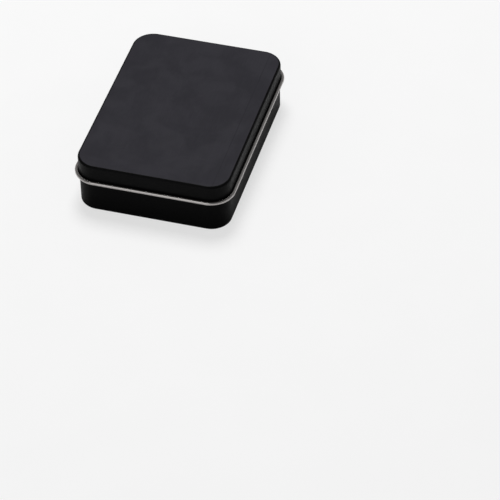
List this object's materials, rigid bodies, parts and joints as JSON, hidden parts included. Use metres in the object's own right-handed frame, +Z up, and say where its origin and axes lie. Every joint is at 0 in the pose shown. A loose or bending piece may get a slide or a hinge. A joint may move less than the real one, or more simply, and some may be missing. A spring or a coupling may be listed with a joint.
{
  "type": "hinged card tin",
  "caption": "Rounded rectangular sheet metal tin for a pack of playing cards, with a deep lid that has a rolled bead edge and is hinged along one long side.",
  "frame": {"origin": "middle of the standing ring, on the plane that the tin stands on", "axes": "+X towards the long side that opens, with the hinge on the long side at -X; +Y along the length; +Z up through the closed lid"},
  "size_m": [0.0691, 0.0956, 0.0237],
  "materials": {
    "black_lacquer": "matte black lacquer outside, with the inside of the tinplate and the rolled edge bare",
    "steel_wire": "drawn steel wire, satin"
  },
  "bodies": {
    "tray": {"tin_body": "black_lacquer"},
    "lid": {"tin_lid": "black_lacquer", "hinge_wire": "steel_wire"}
  },
  "joints": [
    {"name": "lid_hinge", "type": "hinge", "parent": "tray", "child": "lid", "pos_m": [-0.03365, 0, 0.01565], "axis": [0, -1, 0], "range_deg": [0, 180]}
  ]
}
